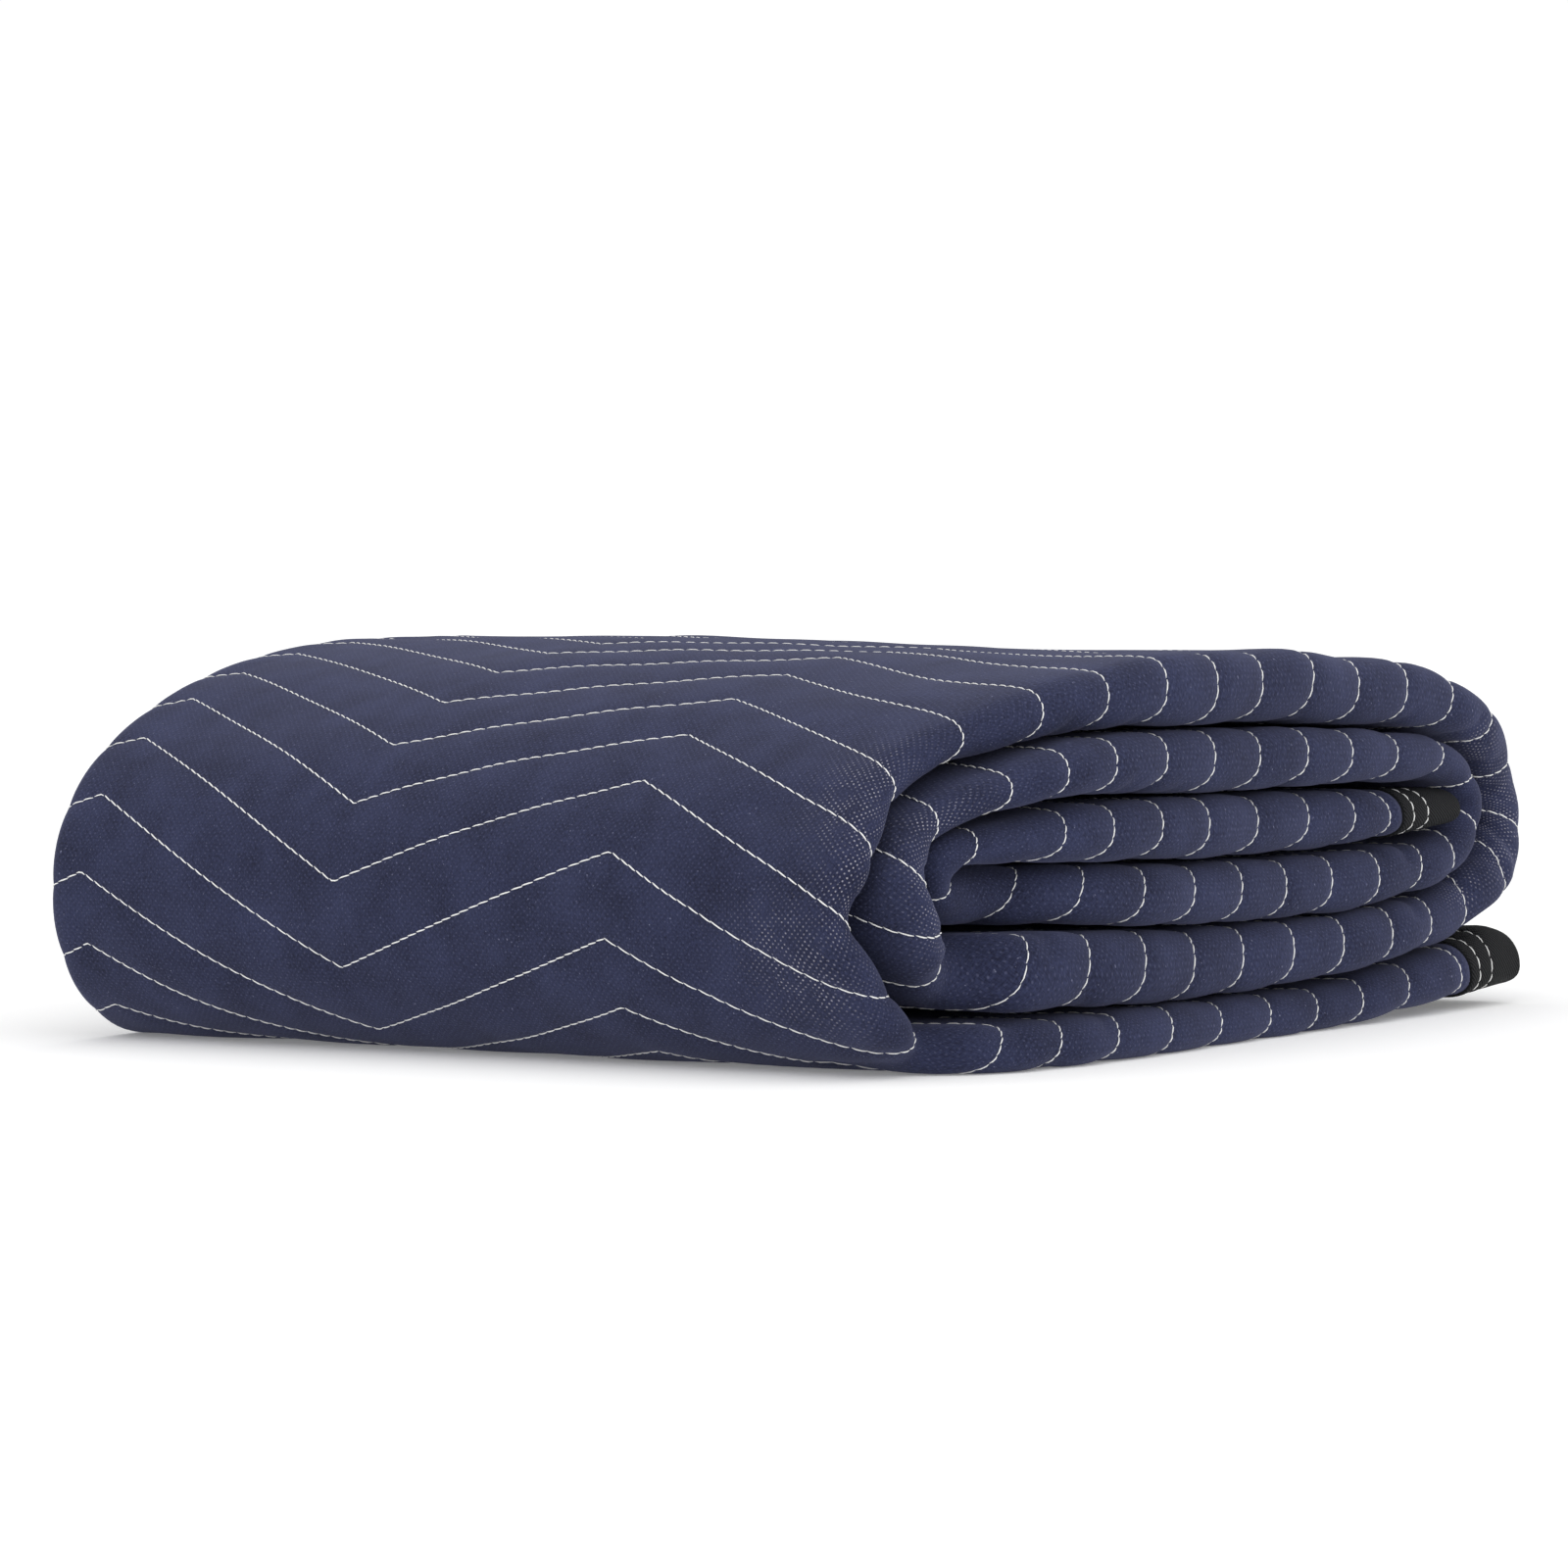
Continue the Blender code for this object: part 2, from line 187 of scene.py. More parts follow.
# Where the closed folds are drawn in further: length along the strip, and how far
drawnIn = (
    (270, 0), (281, 2), (290, 15), (299, 8), (310, 7), (330, 10), (350, 11), (365, 12.5), (378, 17),
    (390, 19), (402, 16), (415, 11), (430, 7), (450, 3), (480, 0), (660, 0), (684, 4), (700, 3),
    (714, -1), (726, 0), (742, 3), (760, 2), (780, 0),
    (976, 0), (988, 16), (998, 8), (1006, 0), (1014, -2.5), (1024, -1), (1034, 4), (1042, 9), (1052, 9),
    (1064, 4), (1080, 0),
)
drawnAt, drawnBy = np.array(drawnIn, float).T
drawnBlur = 25
soften = np.hanning(drawnBlur) / np.hanning(drawnBlur).sum()
drawn = np.pad(np.interp(length, drawnAt, drawnBy), drawnBlur // 2, mode="edge")
drawn = np.convolve(drawn, soften, "valid")


def bell(t, reach):
    # gaussian: one at t of zero, falling off as exp of minus the square of t over reach
    return np.exp(-((t / reach) ** 2))


def waves(s, rows):
    # sum of sines along the strip, each with its height, length over two pi and phase
    return sum(tall * np.sin(s / long + phase) for tall, long, phase in rows)


def closedEdge(s):
    # where the closed folds lie: drawn in round the left turns, a little at the right
    x, z = at(s, middle[:, 0]), at(s, middle[:, 1])
    left, leftReach = strip["leftDraw"]
    right, rightAt, rightReach = strip["rightDraw"]
    pinch, pinchAt, pinchReach = strip["nip"]
    draw = left * bell(x, leftReach) + right * bell(x - rightAt, rightReach)
    nip = pinch * bell(z - pinchAt, pinchReach) * np.clip((strip["nipFrom"] - x) / strip["nipFade"], 0, 1)
    tuck = sum(by * bell(s - innerTurn, reach) for by, reach in strip["tucks"])
    return draw + nip + tuck + at(s, drawn) + waves(s, strip["edgeWaves"])


def openEdge(s):
    # the width of the strip, less a little, with two slow waves
    return strip["width"] - strip["openInset"] + waves(s, strip["openWaves"])


# Pushes and pulls: centre x, y, z, then reach and move in each direction
dents = (
    (312, 10, 22, 17, 90, 7, 0, 0, 5.5),
    (268, 0, 97, 14, 40, 9, 0, 2, -1.2),
    (205, 0, 108, 16, 40, 9, 0, -1, 0.8),
)


def place(s, y, offset):
    # strip coordinates to space, in metres: length s, place y across, offset from the middle
    x = at(s, middle[:, 0]) + at(s, outward[:, 0]) * offset
    z = at(s, middle[:, 1]) + at(s, outward[:, 1]) * offset
    dome = strip["domeRise"] * smooth((y - strip["domeFrom"]) / strip["domeSpan"])
    z = z * (1 + dome) - strip["contactSink"]
    p = np.stack([x, y, z], -1)
    push = np.zeros_like(p)
    for cx, cy, cz, rx, ry, rz, dx, dy, dz in dents:
        d = ((p - (cx, cy, cz)) / (rx, ry, rz)) ** 2
        push += np.exp(-d.sum(-1))[..., None] * (dx, dy, dz)
    p = p + push
    # half of z plus its rounded size keeps every point above the floor
    p[..., 2] = (p[..., 2] + np.sqrt(p[..., 2] ** 2 + strip["floorSoft"] ** 2)) / 2
    p[..., 0] -= strip["home"][0]
    p[..., 1] -= strip["home"][1]
    return p * 0.001


# Section of the strip: e is 1 at its outer face and -1 at its inner face
halfBand = 9.0
thin = (2 - (strip["plies"] - 1) * strip["plyGap"] / halfBand) / strip["plies"]
tops = [1 - k * (thin + strip["plyGap"] / halfBand) for k in range(strip["plies"])]
lows = [top - thin for top in tops]
plyThick = thin * halfBand
quarterArc = 15.0  # from the crown of the closed fold to the flat face
spreadFrom = 60.0
faceEnd = 328.0
lipTwoArc = 12.0
lipThreeArc = 18.0


def faceAcross(s, v):
    # place y across the strip of a point on either flat face: true near the fold, then
    # spread evenly to where the lip starts
    near, far = closedEdge(s) + strip["foldRadius"], openEdge(s)
    lip = np.where(v > 0, strip["lipTwo"], strip["lipThree"])
    even, wide = spreadFrom - quarterArc, far - lip - near
    share = (np.abs(v) - spreadFrom) / (faceEnd - spreadFrom)
    return near + np.where(np.abs(v) < spreadFrom, np.abs(v) - quarterArc, even + (wide - even) * share)


def skin(s, v, lift=0.0):
    # outer side of the folded strip: v runs from the lip of plies 3 and 5 (below
    # -328) over the inner face, the closed fold (-15 to 15) and the outer face to the
    # lip of plies 0 and 1 (past 328); lift goes out along the section's own normal
    s, v = np.broadcast_arrays(np.asarray(s, float), np.asarray(v, float))
    half = at(s, thickness) / 2
    near, far = closedEdge(s) + strip["foldRadius"], openEdge(s)
    a = np.clip(v / quarterArc, -1, 1) * np.pi / 2
    cosine, sine = np.maximum(np.cos(a), 0), np.sin(a)
    more, moreAt, moreReach = strip["fuller"]
    full = strip["fullness"] + more * bell(s - moreAt, moreReach)
    sag = 1 - strip["sag"] * sine * at(s, outward[:, 1])
    y = near - strip["foldRadius"] * cosine**full * sag
    offset = half * np.sign(sine) * np.abs(sine) ** full
    power = 2 - full
    ny, no = -(cosine**power) / strip["foldRadius"], np.sign(sine) * np.abs(sine) ** power / half
    flat = np.abs(v) > quarterArc
    lip = np.where(v > 0, strip["lipTwo"], strip["lipThree"])
    y = np.where(flat, faceAcross(s, v), y)
    offset = np.where(flat, np.sign(v) * half, offset)
    ny, no = np.where(flat, 0, ny), np.where(flat, np.sign(v), no)
    for side, arc, eFrom, eTo in ((1, lipTwoArc, 1, lows[1]), (-1, lipThreeArc, -1, tops[3])):
        over = side * v > faceEnd
        b = np.clip((side * v - faceEnd) / arc, 0, 1) * np.pi
        mid, tall = (eFrom + eTo) / 2, (eFrom - eTo) / 2
        y = np.where(over, far - lip + lip * np.sin(b), y)
        offset = np.where(over, half * (mid + tall * np.cos(b)), offset)
        ny = np.where(over, np.sin(b) / lip, ny)
        no = np.where(over, np.cos(b) / (half * tall), no)
    # just behind the fold the padding swells, so that the bands nearly meet
    plump = strip["swell"] * bell(np.abs(v) - quarterArc - 4, strip["swellReach"])
    offset = offset + plump * np.sign(sine) * np.abs(sine) ** full
    size = np.hypot(ny, no)
    return place(s, y + ny / size * lift, offset + no / size * lift)


def bend(edge, centre, reach, eFrom, eTo, steps):
    # half ellipse of a hidden fold between two heights in the section
    mid, tall = (eFrom + eTo) / 2, (eFrom - eTo) / 2
    return [(edge, centre - reach * np.sin(a), mid + tall * np.cos(a)) for a in np.linspace(0, np.pi, steps)]


def hiddenSides():
    # the rest of the section, from under the lip of plies 0 and 1 round to that of 3
    # and 5: which edge each point is measured from, how far, and its height
    r, two, three = strip["foldRadius"], strip["lipTwo"], strip["lipThree"]
    nested = [r - fold * (plyThick + 0.7) for fold in range(3)]
    return (
        bend("closed", r, nested[1] - plyThick, lows[1], tops[4], 7)
        + [("open", three + 1.2, tops[4]), ("open", three + 1.2, lows[4])]
        + bend("closed", r, nested[1], lows[4], tops[1], 7)
        + bend("open", two, two - plyThick * 0.9, tops[1], lows[0], 4)
        + bend("closed", r, r - plyThick, lows[0], tops[5], 7)
        + bend("open", three, three - plyThick, tops[5], lows[3], 5)
        + bend("closed", r, nested[2], lows[3], tops[2], 5)
        + [("open", three + 4.0, tops[2]), ("open", three + 4.0, lows[2])]
        + bend("closed", r, 1.4, lows[2], tops[3], 4)
    )


def hiddenSkin(s, lift=0.0):
    # those points for an array of lengths; lift is along each point's own normal
    table = hiddenSides()
    s = np.asarray(s, float)[:, None]
    fromOpen = np.array([row[0] == "open" for row in table])
    distance, e = np.array([row[1:] for row in table]).T
    y = np.where(fromOpen, openEdge(s) - distance, closedEdge(s) + distance)
    offset = e * at(s, thickness) / 2
    dy, do = np.gradient(y, axis=1), np.gradient(offset, axis=1)
    size = np.hypot(dy, do)
    return place(s, y + do / size * lift, offset - dy / size * lift)


# Stitched zigzag: pitch of the lines along the strip, and its shape across it
zigzag = {
    "pitch": 24.6,
    "first": 9.8,
    "half": 100.5,
    "swing": 44.0,
    "skew": 0.063,
    "valley": 12.0,
    "atFold": 27.0,
    "seamDepth": 0.6,
    "foldDepth": 0.9,
    "foldReach": 17.0,
    "seamReach": 3.6,
    "tight": (0.75, 705.0, 45.0),  # share of the fold depth lost, at what length, reach
}
# How far the lines are out of even spacing: length along the outer face, shift
lineShift = (
    (0, -6), (47, -6), (72, -4), (121, -3), (145, -2), (170, 1), (195, 5), (219, 7), (244, 7),
    (268, 3), (293, 0), (343, 1), (391, 0), (419, 2), (465, 4), (514, 6), (539, 7), (564, 10.5),
    (613, 15.5), (637, 18.5), (662, 19), (785, 28.5), (810, 29), (834, 32.5), (883, 35),
    (932, 39), (957, 40.5), (982, 40), (1006, 37), (1105, 27.5), (1130, 22), (1155, 21),
    (1179, 23), (1277, 23.5), (1302, 27), (1327, 32.5), (1425, 24.5), (1474, 28), (1523, 28.5),
    (1573, 30.5), (1597, 28.5), (1622, 21.5), (1696, 36.5), (1720, 31), (1770, 30.5),
    (1794, 35), (1819, 38.5), (1843, 40.5), (1950, 40.5),
)
clothEnd = strip["binding"] + strip["pieceGap"]
firstFace, lastFace = np.interp([clothEnd, total - clothEnd], length, faceLength)


def swing(w):
    # triangle wave across the cloth plus a slow drift to one side
    f = np.mod((w - zigzag["valley"]) / zigzag["half"], 2)
    return zigzag["swing"] * (1 - np.abs(1 - f)) + zigzag["skew"] * w


def across(s, v):
    # place of v in the stitched pattern, whose corners stay level where folds draw in
    edge = closedEdge(s) + strip["foldRadius"] - quarterArc
    near = smooth((70 - v) / 85)
    far = faceAcross(s, np.minimum(v, faceEnd)) + np.maximum(v - faceEnd, 0)
    return np.where(v > spreadFrom, far, v + edge) + (zigzag["atFold"] - edge) * near


def sheared(row, v):
    # length along the outer face of a row at v; the ends of the strip stay square
    reach = 40 + 0.6 * np.abs(v)
    square = smooth((row - firstFace) / reach) * smooth((lastFace - row) / reach)
    face = row + 0.0 * v
    for _ in range(3):
        face = row + square * swing(across(np.interp(face, faceLength, length), v))
    return face


rowCount = int((lastFace - firstFace) / zigzag["pitch"])
shiftAt, shiftBy = np.array(lineShift).T
lines = firstFace + zigzag["first"] + zigzag["pitch"] * np.arange(-3, rowCount + 2)
lines = lines + np.interp(lines, shiftAt, shiftBy)
hiddenFrom = 950.0  # along the outer face, where it has gone in under itself
visibleFrom = 215.0


def showing(row, v):
    # 1 where quilting can be seen, 0 where the face lies hidden or on the ground
    face = smooth((hiddenFrom - row) / 60) * smooth((row - visibleFrom + 30) / 60)
    face = np.maximum(face, smooth((62 - v) / 30))
    inner = smooth((v + 62) / 30)
    return np.where(np.abs(v) > faceEnd - 6, 1.0, np.where(v > 0, face, inner))


# Creases, listed: from s, v to s, v in strip lengths, then width and depth
creases = (
    (683, -17, 690, 4, 2.2, 1.9),
    (703, -17, 712, 5, 2.2, 1.9),
    (647, -13, 654, 0, 1.8, 1.3),
    (668, -16, 676, -2, 1.8, 1.0),
    (724, -15, 719, 0, 2.0, 1.1),
    (742, -15, 739, -4, 1.6, 0.9),
    (342, -12, 336, 50, 4.2, 2.2),
    (296, -12, 291, 34, 2.6, 2.6),
    (318, 12, 322, 60, 5.0, 1.2),
    (372, 6, 366, 48, 5.5, 1.3),
    (432, -16, 441, -3, 2.6, 1.6),
    (447, -16, 453, -6, 2.0, 1.2),
    (463, -16, 467, -7, 1.8, 0.9),
    (403, -14, 411, 2, 2.8, 1.4),
    (1004, -12, 1010, 9, 2.2, 1.5),
    (994, -14, 1000, 6, 1.8, 1.8),
    (1030, -13, 1034, 2, 2.2, 1.3),
    (1112, -16, 1117, -5, 2.0, 1.3),
    (1128, -16, 1131, -7, 1.6, 1.0),
    (1141, -16, 1142, -8, 1.4, 0.8),
    (1206, -16, 1203, -7, 1.8, 0.7),
    (1362, -16, 1367, -5, 1.8, 1.1),
    (1378, -15, 1380, -7, 1.5, 0.8),
    (1560, 16, 1556, 4, 2.2, 1.2),
    (1578, 15, 1573, 5, 1.8, 0.9),
    (1612, -15, 1616, -4, 2.0, 1.1),
    (770, -16, 776, -5, 2.2, 1.1),
    (946, 16, 950, 6, 2.2, 1.2),
    (962, -15, 966, -5, 2.4, 1.3),
    (252, 15, 256, 4, 2.4, 1.1),
    (230, -15, 234, -4, 2.2, 0.9),
    (266, -15, 271, -2, 2.6, 1.5),
    (560, -16, 556, -8, 1.8, 0.7),
    (610, -15, 616, -5, 2.0, 0.9),
)


# Padding between the seams: heights, and lengths over two pi along and across
padding = {
    "swell": 0.32,
    "swellAlong": (13.7, 31.0),
    "swellAcross": (21.0, 47.0),
    "ripple": 0.16,
    "rippleAlong": 6.1,
    "rippleAcross": 9.0,
    "creaseDepth": 1.25,
    "deepest": 0.75,  # share of a ply that the relief may go in by
}


def creased(s, v):
    # depth of the creases: a trough along each that falls off as exp of minus distance
    depth = 0.0
    for s0, v0, s1, v1, width, deep in creases:
        along = ((s - s0) * (s1 - s0) + (v - v0) * (v1 - v0)) / ((s1 - s0) ** 2 + (v1 - v0) ** 2)
        along = np.clip(along, 0, 1)
        off = (s - s0 - along * (s1 - s0)) ** 2 + (v - v0 - along * (v1 - v0)) ** 2
        depth = depth + padding["creaseDepth"] * deep * np.exp(-np.sqrt(off + 0.05) / width)
    return depth


def uneven(s, v):
    # slow swells of the padding in millimetres: two crossed sines, and a finer ripple
    (s0, s1), (v0, v1) = padding["swellAlong"], padding["swellAcross"]
    swells = padding["swell"] * np.sin(s / s0 + v / v0) * np.sin(s / s1 - v / v1 + 1.0)
    return swells + padding["ripple"] * np.sin(s / padding["rippleAlong"] - v / padding["rippleAcross"])


def relief(row, v):
    # every seam pulls the cloth in: depth falls off as exp of minus its distance
    ahead = np.clip(np.searchsorted(lines, row), 1, len(lines) - 1)
    gap = np.minimum(np.abs(row - lines[ahead - 1]), np.abs(lines[ahead] - row))
    # rows lean by the zigzag, so the true distance is 0.917 of that along the strip
    near = np.exp(-gap * 0.917 / zigzag["seamReach"])
    s = np.interp(sheared(row, v), faceLength, length)
    less, lessAt, lessReach = zigzag["tight"]
    tight = 1 - less * bell(s - lessAt, lessReach)
    depth = zigzag["seamDepth"] + zigzag["foldDepth"] * tight * bell(v, zigzag["foldReach"])
    loose = np.where(np.abs(v) > faceEnd - 6, 0.0, uneven(s, v) - creased(s, v))
    # no deeper than part of a ply, or the plies inside would show
    deepest = -padding["deepest"] * thin * at(s, thickness) / 2
    return np.maximum((loose - depth * near) * showing(row, v), deepest)


# Where the cloth is stretched and its bonding dots turn pale: s, v, reach in s and in v
stretched = (
    (352, 4, 22, 11), (374, 12, 18, 12), (326, 24, 14, 14), (700, -4, 26, 13), (664, -8, 12, 8),
    (1024, -2, 20, 9), (1044, 4, 14, 8), (742, -6, 9, 6),
)


def paleness(s, v):
    # the strongest of the gaussian patches at this place
    pale = 0.0
    for s0, v0, reachS, reachV in stretched:
        pale = np.maximum(pale, np.exp(-(((s - s0) / reachS) ** 2) - ((v - v0) / reachV) ** 2))
    return pale


def fan(few, many, ratio):
    # triangles between two chains of vertices, ratio of one to each of the other
    k = np.arange(len(few) - 1)
    j = np.arange(ratio)
    base = (k * ratio)[:, None] + j
    tip = np.where(j < ratio / 2, few[k][:, None], few[k + 1][:, None])
    sides = np.stack([many[base], many[base + 1], tip], -1).reshape(-1, 3)
    mids = np.stack([many[k * ratio + ratio // 2], few[k + 1], few[k]], -1)
    return np.concatenate([sides, mids])


def quads(ids):
    # four-sided faces between neighbouring rows and columns of vertex numbers
    a, b, c, d = ids[:-1, :-1], ids[1:, :-1], ids[1:, 1:], ids[:-1, 1:]
    return np.stack([a, b, c, d], -1).reshape(-1, 4)


def makePiece(name, points, faces, material, uvs=None, values=None):
    # faces is a list of index arrays or tuples; uvs and values hold one row a vertex
    mesh = bpy.data.meshes.new(name)
    rows = []
    for part in faces:
        rows += np.atleast_2d(part).tolist()
    mesh.from_pydata(points.reshape(-1, 3).tolist(), [], rows)
    bm = bmesh.new()
    bm.from_mesh(mesh)
    bmesh.ops.triangulate(bm, faces=[f for f in bm.faces if len(f.verts) > 4])
    bmesh.ops.recalc_face_normals(bm, faces=bm.faces[:])
    bm.to_mesh(mesh)
    bm.free()
    corner = np.empty(len(mesh.loops), int)
    mesh.loops.foreach_get("vertex_index", corner)
    for label, data in (uvs or {}).items():
        layer = mesh.uv_layers.new(name=label)
        layer.data.foreach_set("uv", data[corner].astype(np.float32).ravel())
    for label, data in (values or {}).items():
        layer = mesh.attributes.new(label, "FLOAT", "POINT")
        layer.data.foreach_set("value", data.astype(np.float32))
    mesh.shade_smooth()
    mesh.materials.append(material)
    piece = bpy.data.objects.new(name, mesh)
    bpy.context.scene.collection.objects.link(piece)
    print(name, sum(len(p.vertices) - 2 for p in mesh.polygons), "triangles")
    return piece


def linear(code):
    # sRGB hex to linear red, green, blue and alpha
    c = np.array([int(code[i : i + 2], 16) / 255 for i in (1, 3, 5)])
    c = np.where(c <= 0.04045, c / 12.92, ((c + 0.055) / 1.055) ** 2.4)
    return (*c.tolist(), 1.0)


def addNode(tree, kind, settings=None, **links):
    # one node: its settings by name, sockets by number as in0, in1 and so on
    node = tree.nodes.new("ShaderNode" + kind)
    for key, value in (settings or {}).items():
        setattr(node, key, value)
    for key, value in links.items():
        socket = node.inputs[int(key[2:])]
        if isinstance(value, bpy.types.NodeSocket):
            tree.links.new(value, socket)
        else:
            socket.default_value = value
    return node.outputs


def newMaterial(name, colour, roughness):
    material = bpy.data.materials.new(name)
    material.use_nodes = True
    shader = material.node_tree.nodes["Principled BSDF"]
    shader.inputs["Base Color"].default_value = linear(colour)
    shader.inputs["Roughness"].default_value = roughness
    return material, material.node_tree, shader


# Bonded nonwoven cover: polyester and cotton fibres pressed together at rows of small
# dots, matt and a little fuzzy; the dots turn pale where the cloth is stretched
cotton, cottonTree, cottonShader = newMaterial("bonded nonwoven cover", "#3f4159", 0.92)
# Twill tape: black polyester woven in a fine diagonal, duller than the thread on it; the crowns of its ribs
# are painted lighter, a painted highlight of light on the weave
twill, twillTree, twillShader = newMaterial("woven twill tape with painted highlights", "#232425", 0.8)
# Spun polyester thread: near white, with a soft gloss; its twist shows only as painted light and shade in
# the colour
thread, threadTree, threadShader = newMaterial("spun polyester thread with painted twist shade", "#f1f0ec", 0.55)
cloth = {
    # sizes in millimetres
    "dotPitch": 2.05,  # bonding dots, staggered, so the nearest are 1.45 apart
    "dotSway": 1.1,  # how far the rows of dots wander
    "swaySize": 6.25,
    "fibreWidth": 0.32,  # drawn coarser than the real fibre, which wouldn't show
    "fibreLength": 1.6,
    "fibreTurns": ((0.5, 3.0), (-0.9, 2.0)),  # two layers of fibres: angle, detail
    "grain": 0.714286,
    "patch": 16.6667,
    "dotFade": 1.11111,
    "pullPatch": 4.54545,
    "speckSpacing": 0.909091,
    "bumpDepth": 0.25,
    "dark": "#16182b",
    "light": "#353a58",
    "dot": "#50546f",
    "paleDot": "#b4b1bb",
    "speck": "#777a94",
    "sheen": 0.17,
    "sheenTint": "#bcc0ec",
}
multiply, multiplyAdd = {"operation": "MULTIPLY"}, {"operation": "MULTIPLY_ADD"}
mixColours = {"data_type": "RGBA"}


def clothCoordinates(tree):
    # the cloth's own map in millimetres
    flat = addNode(tree, "UVMap", {"uv_map": "weave"})[0]
    return addNode(tree, "VectorMath", {"operation": "SCALE"}, in0=flat, in3=1000.0)[0]


def finishCloth():
    tree = cottonTree
    spot = clothCoordinates(tree)
    axes = addNode(tree, "SeparateXYZ", None, in0=spot)
    wobble = addNode(tree, "TexNoise", None, in0=spot, in2=1 / cloth["swaySize"], in3=1.0)[0]
    # dots lie where the product of a cosine each way is near one
    cosines = []
    for axis in (0, 1):
        moved = addNode(tree, "Math", multiplyAdd, in0=wobble, in1=cloth["dotSway"], in2=axes[axis])[0]
        angle = addNode(tree, "Math", multiply, in0=moved, in1=2 * np.pi / cloth["dotPitch"])[0]
        cosines.append(addNode(tree, "Math", {"operation": "COSINE"}, in0=angle)[0])
    product = addNode(tree, "Math", multiply, in0=cosines[0], in1=cosines[1])[0]
    dots = addNode(tree, "MapRange", None, in0=product, in1=0.45, in2=0.95)[0]
    # two crossed layers of drawn-out noise are the fibres
    drawnOut = (1 / cloth["fibreLength"], 1 / cloth["fibreWidth"], 1)
    fibres = []
    for angle, detail in cloth["fibreTurns"]:
        turned = addNode(tree, "Mapping", None, in0=spot, in2=(0, 0, angle))[0]
        turned = addNode(tree, "Mapping", None, in0=turned, in3=drawnOut)[0]
        fibres.append(addNode(tree, "TexNoise", None, in0=turned, in2=1.0, in3=detail)[0])
    both = addNode(tree, "Math", {"operation": "ADD"}, in0=fibres[0], in1=fibres[1])[0]
    grain = addNode(tree, "TexNoise", None, in0=spot, in2=1 / cloth["grain"], in3=2.0)[0]
    grain = addNode(tree, "Math", multiply, in0=grain, in1=0.28)[0]
    fuzz = addNode(tree, "Math", multiplyAdd, in0=both, in1=0.36, in2=grain)[0]
    patches = addNode(tree, "TexNoise", None, in0=spot, in2=1 / cloth["patch"], in3=2.0)[0]
    mottled = addNode(tree, "Math", multiplyAdd, in0=patches, in1=0.3, in2=fuzz)[0]
    shade = addNode(tree, "MapRange", None, in0=mottled, in1=0.5, in2=0.8)[0]
    dark, light = linear(cloth["dark"]), linear(cloth["light"])
    colour = addNode(tree, "Mix", mixColours, in0=shade, in6=dark, in7=light)[2]
    # the dots show faintly and unevenly
    fade = addNode(tree, "TexNoise", None, in0=spot, in2=1 / cloth["dotFade"], in3=2.0)[0]
    fade = addNode(tree, "MapRange", None, in0=fade, in1=0.35, in2=0.75)[0]
    faint = addNode(tree, "Math", multiply, in0=dots, in1=fade)[0]
    faint = addNode(tree, "Math", multiply, in0=faint, in1=0.9)[0]
    colour = addNode(tree, "Mix", mixColours, in0=faint, in6=colour, in7=linear(cloth["dot"]))[2]
    # pale dots where the cloth is stretched, uneven, as it pulls tight in patches
    stretch = addNode(tree, "Attribute", {"attribute_name": "stretch"})[2]
    pulled = addNode(tree, "TexNoise", None, in0=spot, in2=1 / cloth["pullPatch"], in3=2.0)[0]
    pulled = addNode(tree, "MapRange", None, in0=pulled, in1=0.38, in2=0.62)[0]
    pulled = addNode(tree, "Math", multiply, in0=stretch, in1=pulled)[0]
    pale = addNode(tree, "MapRange", None, in0=product, in1=0.55, in2=0.95)[0]
    pale = addNode(tree, "Math", multiply, in0=pale, in1=pulled)[0]
    colour = addNode(tree, "Mix", mixColours, in0=pale, in6=colour, in7=linear(cloth["paleDot"]))[2]
    specks = addNode(tree, "TexNoise", None, in0=spot, in2=1 / cloth["speckSpacing"], in3=1.0)[0]
    specks = addNode(tree, "MapRange", None, in0=specks, in1=0.73, in2=0.8)[0]
    colour = addNode(tree, "Mix", mixColours, in0=specks, in6=colour, in7=linear(cloth["speck"]))[2]
    tree.links.new(colour, cottonShader.inputs["Base Color"])
    height = addNode(tree, "Math", multiplyAdd, in0=dots, in1=-0.3, in2=fuzz)[0]
    bump = addNode(tree, "Bump", None, in0=0.55, in1=cloth["bumpDepth"] * 0.001, in3=height)[0]
    tree.links.new(bump, cottonShader.inputs["Normal"])
    cottonShader.inputs["Specular IOR Level"].default_value = 0.2
    cottonShader.inputs["Sheen Weight"].default_value = cloth["sheen"]
    cottonShader.inputs["Sheen Roughness"].default_value = 0.5
    cottonShader.inputs["Sheen Tint"].default_value = linear(cloth["sheenTint"])


# Tape: its colours, weave and shape, with sizes in millimetres
tape = {
    "dark": "#08090a",
    # light is a painted highlight on the crowns of the ribs; dark is the black of the yarn
    "light": "#303134",
    "ribStep": 1.5,  # along the tape; the ribs lie 1.06 apart, coarser than real twill
    "bumpStep": 1.1,
    "mottle": 0.625,
    "bumpDepth": 0.2,
    "rows": (5.6, 13.8),  # how far the stitch rows lie in from the edge on the cloth
    "raised": 0.35,
    "rim": (1.25, 1.6),  # the free edge rounds over: drop, reach
    "butt": (0.3, 0.5),  # and the one against the cloth
    "pull": (0.45, 1.1),  # each row of stitches draws the tape in: depth, reach
}


